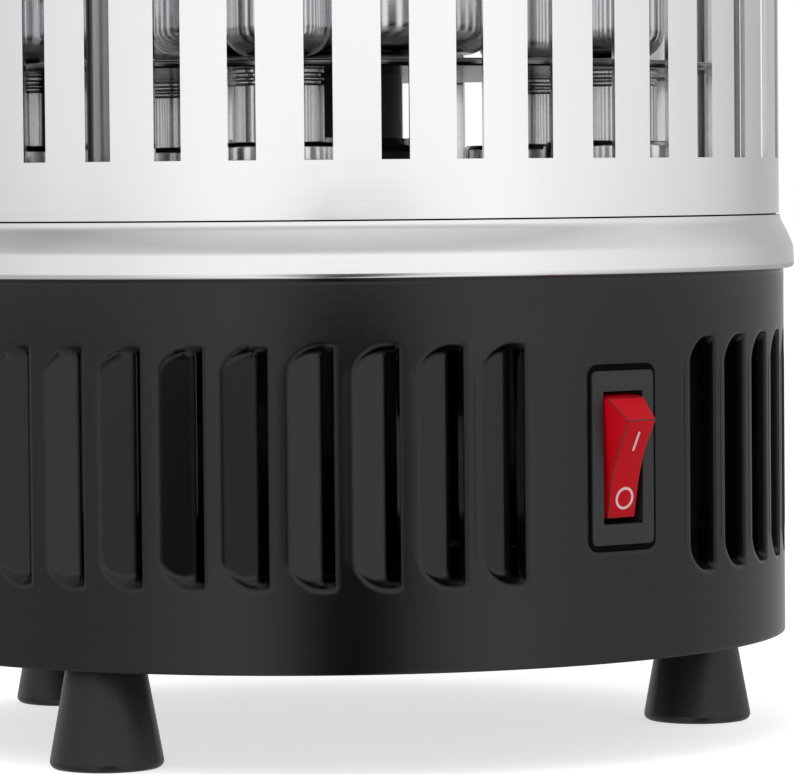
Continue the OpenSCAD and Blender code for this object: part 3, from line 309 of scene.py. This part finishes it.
reach = [0.0]
for depth in depths[1:]:
    reach.append(reach[-1] + slopeStep * math.tan(slopeAt(depth - slopeStep / 2)))
grow = (collar["bead"] - collar["lip"]) / reach[-1]
face = [(collar["lip"] + grow * out, top - depth) for out, depth in zip(reach, depths)]
neckIn, neckOut = collar["neck"]
neckTop = top + collar["neckHeight"]
seatRadius, seatTop = collar["seat"][0], top + collar["seat"][1]
brightFrom = collar["lip"] - collar["brightEdge"]
edgeTop = collar["low"] + collar["edge"]
edgeCentre = (collar["bead"] - collar["edge"], edgeTop + collar["edgeUp"])
section = [(neckIn, collar["low"]), (collar["under"], collar["low"])]
section += arcPoints(edgeCentre, collar["edge"], *collar["edgeArc"])
section += [point for point in reversed(face[::2]) if point[1] > edgeTop + collar["edgeGap"]]
section += [(brightFrom, top), (seatRadius, top), (seatRadius, seatTop), (neckOut, seatTop),
            (neckOut, neckTop - collar["neckEdge"]), (neckOut - collar["neckEdge"], neckTop),
            (neckIn, neckTop)]
bm = bmesh.new()
spinRound(bm, [bm.verts.new((r, 0, z)) for r, z in section], (0, 0, 1), collar["steps"])
bmesh.ops.remove_doubles(bm, verts=bm.verts, dist=0.001)
bmesh.ops.recalc_face_normals(bm, faces=bm.faces)
# painted shade: the seat under the casing takes the black finish, standing in for the shade that falls there
for strip in bm.faces:
    middle = strip.calc_center_median()
    if middle.z > top - tiny and neckOut - collar["seatSlack"] < middle.to_2d().length < brightFrom:
        strip.material_index = 1
piece = addPiece("SpunCollar", bm, ringMetal, "base", "satin_steel", "collar", sharp=40)
piece.data.materials.append(paintedShadeSteel)
print("collar spun")

# No lead is fitted, so the grommet's bore has its skin of rubber, domed a little
skin = {
    "bore": 3.75, "height": 39.0, "radius": 88.2, "thick": 0.8, "edge": 0.15,
    "dome": 0.5,              # how far the dome rises
    "rise": 0.55,             # share of the bore's radius over which it rises, from the rim inwards
}
bm = bmesh.new()
bmesh.ops.create_circle(bm, cap_ends=True, segments=48, radius=skin["bore"])
bmesh.ops.inset_region(bm, faces=bm.faces[:], thickness=skin["bore"] * skin["rise"], depth=skin["dome"])
thicken(bm, bm.faces[:], (0, 0, skin["thick"]))
roundEdges(bm, sharpEdges(bm), skin["edge"], 2)
bmesh.ops.transform(bm, matrix=Matrix.Translation((0, skin["radius"], skin["height"]))
                    @ Matrix.Rotation(-math.pi / 2, 4, "X"), verts=bm.verts)
addPiece("GrommetSkin", bm, rubber, "base", "rubber_black")

# Switch: a flat bezel on a seal, its body behind, and a rocker with printed marks
switch = {
    "azimuth": 36.9, "drumRadius": 88.0,
    "flat": 0.479,            # how deep the flat lies in the drum
    "middle": 55.5,           # height of the bezel's middle
    "bezel": (14.2, 31.0, 0.6), "window": (9.1, 23.6), "edge": 0.15, "corner": 0.9,
    "seal": (15.8, 33.3, 0.08), "sealCorner": 2.0,
    "sealUnder": 2,           # how much smaller the seal's window is than the bezel
    "bodyOut": 0.1,           # how far the body stands out of the flat
}
onFlat = (Matrix.Rotation(math.radians(switch["azimuth"]), 4, "Z")
          @ Matrix.Translation((0, switch["flat"] - switch["drumRadius"], switch["middle"])))


def framePlate(outer, hole, thickness):
    # A plate with a window, lying on the flat and growing outwards. It starts as 3 by 3 squares, 1 wide,
    # whose middle one becomes the window
    bm = bmesh.new()
    bmesh.ops.create_grid(bm, x_segments=3, y_segments=3, size=1.5)
    for vert in bm.verts:
        across = outer[0] if abs(vert.co.x) > 1 else hole[0]
        upwards = outer[1] if abs(vert.co.y) > 1 else hole[1]
        vert.co.x = math.copysign(across / 2, vert.co.x)
        vert.co.y = math.copysign(upwards / 2, vert.co.y)
    bm.faces.ensure_lookup_table()
    middle = min(bm.faces, key=lambda face: face.calc_center_median().length)
    bmesh.ops.delete(bm, geom=[middle], context="FACES_ONLY")
    thicken(bm, bm.faces[:], (0, 0, thickness))
    bmesh.ops.rotate(bm, cent=(0, 0, 0), matrix=Matrix.Rotation(math.pi / 2, 3, "X"), verts=bm.verts)
    return bm


def outerCorners(bm, outer, hole, thickness):
    # The short edges at the plate's four outer corners, past halfway from the window to the outside
    halfway = (outer[0] + hole[0]) / 4
    return [edge for edge in sharpEdges(bm)
            if lengthAlongY(edge) > thickness / 2 and abs(edge.verts[0].co.x) > halfway]


bezelThick = switch["bezel"][2]
bm = framePlate(switch["bezel"], switch["window"], bezelThick)
roundEdges(bm, outerCorners(bm, switch["bezel"], switch["window"], bezelThick), switch["corner"], 4)
roundEdges(bm, sharpEdges(bm), switch["edge"], 3)
bmesh.ops.transform(bm, matrix=onFlat, verts=bm.verts)
addPiece("SwitchBezel", bm, switchPlastic, "base", "switch_black", "switch_housing")

# painted shade: the seal is a thin near-black sheet under the bezel, standing in for the shade in the gap
# round it
sealWindow = [size - switch["sealUnder"] for size in switch["bezel"][:2]]
sealThick = switch["seal"][2]
bm = framePlate(switch["seal"], sealWindow, sealThick)
roundEdges(bm, outerCorners(bm, switch["seal"], sealWindow, sealThick), switch["sealCorner"], 6)
bmesh.ops.transform(bm, matrix=onFlat, verts=bm.verts)
addPiece("SwitchSeal", bm, shadeSealRubber, "base", "rubber_black")

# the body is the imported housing, cut off just outside the flat
bm = bmesh.new()
bm.from_mesh(nodes["switch_housing"].data)
bmesh.ops.scale(bm, vec=(1 / mm, 1 / mm, 1 / mm), verts=bm.verts)
bmesh.ops.remove_doubles(bm, verts=bm.verts, dist=0.001)
outwards = onFlat.to_3x3() @ Vector((0, -1, 0))
bmesh.ops.bisect_plane(bm, geom=bm.verts[:] + bm.edges[:] + bm.faces[:], dist=0.0001,
                       plane_co=onFlat.translation + outwards * switch["bodyOut"], plane_no=outwards,
                       clear_outer=True)
bmesh.ops.recalc_face_normals(bm, faces=bm.faces)
addPiece("SwitchBody", bm, switchPlastic, "base", "switch_black")

rocker = {
    "width": 8.5, "pivot": 2.5,
    "tip": 16.0,              # degrees from its middle position at rest
    # corners of the flank, up and out from the pivot, and the middle of the face
    "ridge": (8.9, 6.1), "foot": (-9.75, 5.2), "dip": 4.2, "shoulder": (11.3, 0.6), "back": (11.1, -3.0),
    "taper": 0.75,            # width of the face over the width in the window
    "taperFrom": 2,           # how far out from the pivot the narrower part starts
    "hollow": 4.0,            # rounding along the middle of the face
    "edge": 0.2,
    "edgeTurn": 0.25,         # least turn in radians at which an edge is rounded
    "edgeArea": 1.6,          # a face under this area is part of a rounded edge, and gets the painted shade
    "trunnion": (1.4, 10.7),
    "markAcross": 0.25,       # the marks lie a little to the right on the face
    "bar": (0.5, 4.6), "barUp": 4.3,
    "barRound": 0.45,         # rounding of the bar's ends, as a share of its width
    "ringUp": -6.15, "ringSize": (1.8, 0.24), "ringSteps": 48,
    "ink": 0.05,              # how far the marks stand proud
}
onPivot = (onFlat @ Matrix.Translation((0, rocker["pivot"], 0))
           @ Matrix.Rotation(math.radians(rocker["tip"]), 4, "X"))
outline = [rocker["ridge"], (0, rocker["dip"]), rocker["foot"],
           (-rocker["shoulder"][0], rocker["shoulder"][1]), (-rocker["back"][0], rocker["back"][1]),
           rocker["back"], rocker["shoulder"]]
bm = bmesh.new()
flank = bm.faces.new([bm.verts.new((-rocker["width"] / 2, -out, up)) for up, out in outline])
thicken(bm, [flank], (rocker["width"], 0, 0))
for vert in bm.verts:
    if vert.co.y < -rocker["taperFrom"]:
        vert.co.x *= rocker["taper"]
alongMiddle = [edge for edge in bm.edges if all(abs(vert.co.z) < tiny for vert in edge.verts)]
roundEdges(bm, alongMiddle, rocker["hollow"], 8)
roundEdges(bm, sharpEdges(bm, rocker["edgeTurn"]), rocker["edge"], 3)
# painted shade: the rounded edges of the tinted plastic get a darker copy of the red, standing in for the
# shade on them
for strip in bm.faces:
    if strip.calc_area() < rocker["edgeArea"]:
        strip.material_index = 1
pinRadius, pinLength = rocker["trunnion"]
bmesh.ops.create_cone(bm, cap_ends=True, segments=32, radius1=pinRadius, radius2=pinRadius, depth=pinLength,
                      matrix=Matrix.Rotation(math.pi / 2, 4, "Y"))
bmesh.ops.transform(bm, matrix=onPivot, verts=bm.verts)
piece = addPiece("RockerKey", bm, rockerPlastic, "rocker", "rocker_red", "rocker")
piece.data.materials.append(edgeShadePlastic)


def onFace(up):
    # A frame on the rocker's face: X across, Z along the face, -Y out of it
    end = rocker["ridge"] if up > 0 else rocker["foot"]
    slope = (end[1] - rocker["dip"]) / end[0]
    return (onPivot @ Matrix.Translation((rocker["markAcross"], -rocker["dip"] - slope * up, up))
            @ Matrix.Rotation(math.atan(slope), 4, "X"))


bm = bmesh.new()
bmesh.ops.create_cube(bm, size=1)
bmesh.ops.scale(bm, vec=(rocker["bar"][0], 2 * rocker["ink"], rocker["bar"][1]), verts=bm.verts)
ends = [edge for edge in bm.edges if lengthAlongY(edge) > rocker["ink"]]
roundEdges(bm, ends, rocker["bar"][0] * rocker["barRound"], 5)
bmesh.ops.transform(bm, matrix=onFace(rocker["barUp"]), verts=bm.verts)
addPiece("MarkOn", bm, markInk, "rocker", "rocker_red")

bm = bmesh.new()
radius, half = rocker["ringSize"]
corners = [bm.verts.new((radius + x, y, 0)) for x, y in (
    (-half, rocker["ink"]), (half, rocker["ink"]), (half, -rocker["ink"]), (-half, -rocker["ink"]))]
spinRound(bm, corners, (0, 1, 0), rocker["ringSteps"])
bmesh.ops.remove_doubles(bm, verts=bm.verts, dist=0.0001)
bmesh.ops.recalc_face_normals(bm, faces=bm.faces)
bmesh.ops.transform(bm, matrix=onFace(rocker["ringUp"]), verts=bm.verts)
addPiece("MarkOff", bm, markInk, "rocker", "rocker_red")
print("switch built")

# Studio: floor, light and what the gloss sees
studio = {
    "floorSize": 8.0,
    "floorColour": "#e6e6e6",
    "floorGlow": 0.68,        # added for the camera alone, so that the floor goes white outside the shadow
    "dayLevel": 0.62,         # world light on rough surfaces
    "lampPower": 16.0,
    "lampPlace": (-0.7, -1.1, 1.7),
    "lampAim": (0, 0, 0.1),
    "lampSize": 1.6,
    # what gloss sees at each azimuth in degrees: over the horizon, under it, and as a share overhead
    "overHorizon": [(-180, 0.6), (-130, 0.66), (-90, 0.7), (-70, 0.81), (-52, 0.86), (-36, 0.94),
                    (-20, 0.99), (-5, 1.0), (41, 1.0), (58, 0.92), (76, 0.85), (97, 0.76), (109, 0.69),
                    (124, 0.58), (143, 0.48), (180, 0.6)],
    "underHorizon": [(-180, 0.42), (-130, 0.44), (-90, 0.47), (-70, 0.5), (-52, 0.58), (-36, 0.78),
                     (-20, 0.87), (-10, 0.6), (-5, 0.34), (2.6, 0.1), (10, 0.1), (17, 0.3), (25, 0.65),
                     (41, 0.93), (58, 0.83), (76, 0.68), (97, 0.56), (109, 0.5), (124, 0.44), (143, 0.4),
                     (180, 0.42)],
    "overhead": [(-180, 0.7), (-90, 0.6), (-70, 0.78), (-40, 0.95), (0, 1.0), (25, 1.12), (58, 1.26),
                 (97, 1.1), (124, 0.7), (180, 0.7)],
    # the ceiling's level at each elevation, and the elevations between which one view runs into the next
    "ceiling": [(38, 0.69), (44, 0.57), (52, 0.66), (56, 0.75), (90, 0.6)],
    "horizonBlend": (-1.25, -0.8), "ceilingBlend": (20, 38),
}

bpy.ops.mesh.primitive_plane_add(size=studio["floorSize"])
floor = bpy.context.object
floor.name = "StudioFloor"
floor.visible_glossy = False
floorPaint, tree, shader = newFinish("StudioFloorPaint", studio["floorColour"], 0.0, 0.9)
shader.inputs["Specular IOR Level"].default_value = 0.0
seen = addNode(tree, "ShaderNodeLightPath")
glow = addNode(tree, "ShaderNodeEmission", {"Color": (1, 1, 1, 1)})
level = addNode(tree, "ShaderNodeMath", {1: studio["floorGlow"]}, {0: seen.outputs["Is Camera Ray"]},
                operation="MULTIPLY")
tree.links.new(level.outputs[0], glow.inputs["Strength"])
both = addNode(tree, "ShaderNodeAddShader", links={0: shader.outputs[0], 1: glow.outputs[0]})
tree.links.new(both.outputs[0], tree.nodes["Material Output"].inputs["Surface"])
floor.data.materials.append(floorPaint)

# World: white to the eye, an even light on rough surfaces, and to gloss a white studio seen all round,
# with a dark gap low beside the camera and a dimmer ceiling
world = bpy.data.worlds.new("StudioWorld")
bpy.context.scene.world = world
world.use_nodes = True
tree = world.node_tree
tree.nodes.clear()
way = addNode(tree, "ShaderNodeTexCoord")
parts = addNode(tree, "ShaderNodeSeparateXYZ", links={0: way.outputs["Generated"]})
minusY = addNode(tree, "ShaderNodeMath", {1: -1.0}, {0: parts.outputs["Y"]}, operation="MULTIPLY")
azimuth = addNode(tree, "ShaderNodeMath", links={0: parts.outputs["X"], 1: minusY.outputs[0]},
                  operation="ARCTAN2")
elevation = addNode(tree, "ShaderNodeMath", links={0: parts.outputs["Z"]}, operation="ARCSINE")
turn = addNode(tree, "ShaderNodeMapRange", {"From Min": -math.pi, "From Max": math.pi},
               {"Value": azimuth.outputs[0]})
climb = addNode(tree, "ShaderNodeMapRange", {"From Max": math.pi / 2}, {"Value": elevation.outputs[0]})


def levelRamp(source, levels, low, high, interpolation):
    # A grey level at each angle in degrees, over a source that runs from 0 at low to 1 at high
    node = addNode(tree, "ShaderNodeValToRGB", links={0: source})
    ramp = node.color_ramp
    ramp.interpolation = interpolation
    ramp.elements.remove(ramp.elements[-1])
    for i, (degrees, level) in enumerate(levels):
        share = (degrees - low) / (high - low)
        stop = ramp.elements[0] if i == 0 else ramp.elements.new(share)
        stop.position = share
        stop.color = (level, level, level, 1)
    return node.outputs[0]


def levelsRound(levels):
    return levelRamp(turn.outputs[0], levels, -180, 180, "CARDINAL")


def risingBy(low, high):
    # 0 below the elevation low, 1 above high, in degrees
    return addNode(tree, "ShaderNodeMapRange", {
        "From Min": math.radians(low), "From Max": math.radians(high)},
        {"Value": elevation.outputs[0]}, interpolation_type="SMOOTHSTEP").outputs[0]


horizon = addNode(tree, "ShaderNodeMix", links={
    0: risingBy(*studio["horizonBlend"]), 6: levelsRound(studio["underHorizon"]),
    7: levelsRound(studio["overHorizon"])}, data_type="RGBA")
ceiling = addNode(tree, "ShaderNodeMix", {0: 1.0}, {
    6: levelRamp(climb.outputs[0], studio["ceiling"], 0, 90, "LINEAR"),
    7: levelsRound(studio["overhead"])}, data_type="RGBA", blend_type="MULTIPLY")
shade = addNode(tree, "ShaderNodeMix", links={
    0: risingBy(*studio["ceilingBlend"]), 6: horizon.outputs[2], 7: ceiling.outputs[2]}, data_type="RGBA")
rays = addNode(tree, "ShaderNodeLightPath")
even = studio["dayLevel"]
toGloss = addNode(tree, "ShaderNodeMix", {6: (even, even, even, 1)},
                  {0: rays.outputs["Is Glossy Ray"], 7: shade.outputs[2]}, data_type="RGBA")
clear = addNode(tree, "ShaderNodeMath", links={
    0: rays.outputs["Is Camera Ray"], 1: rays.outputs["Is Transmission Ray"]}, operation="MAXIMUM")
toEye = addNode(tree, "ShaderNodeMix", {7: (1, 1, 1, 1)}, {0: clear.outputs[0], 6: toGloss.outputs[2]},
                data_type="RGBA")
sky = addNode(tree, "ShaderNodeBackground", {"Strength": 1.0}, {"Color": toEye.outputs[2]})
addNode(tree, "ShaderNodeOutputWorld", links={"Surface": sky.outputs[0]})

lampData = bpy.data.lights.new("SoftLamp", "AREA")
lampData.energy = studio["lampPower"]
lampData.size = studio["lampSize"]
lamp = bpy.data.objects.new("SoftLamp", lampData)
bpy.context.scene.collection.objects.link(lamp)
lamp.location = studio["lampPlace"]
lamp.rotation_euler = (Vector(studio["lampAim"]) - lamp.location).to_track_quat("-Z", "Y").to_euler()
lamp.visible_glossy = False
print("studio ready")

# Camera: low in front, looking a little down
view = {
    "place": (0.0, -0.9007, 0.1044),
    "down": 0.0433,           # radians below level
    "right": 0.0155,          # radians to the right of the object's axis
    "roll": -0.0089,
    "lens": 212.26, "sensor": 36.0, "near": 0.01,
}
cameraData = bpy.data.cameras.new("Camera")
cameraData.lens = view["lens"]
cameraData.sensor_width = view["sensor"]
cameraData.sensor_fit = "HORIZONTAL"
cameraData.clip_start = view["near"]
camera = bpy.data.objects.new("Camera", cameraData)
bpy.context.scene.collection.objects.link(camera)
camera.matrix_world = (Matrix.Translation(view["place"]) @ Matrix.Rotation(-view["right"], 4, "Z")
                       @ Matrix.Rotation(math.pi / 2 - view["down"], 4, "X")
                       @ Matrix.Rotation(view["roll"], 4, "Z"))
bpy.context.scene.camera = camera

bpy.context.scene.view_settings.view_transform = "Standard"
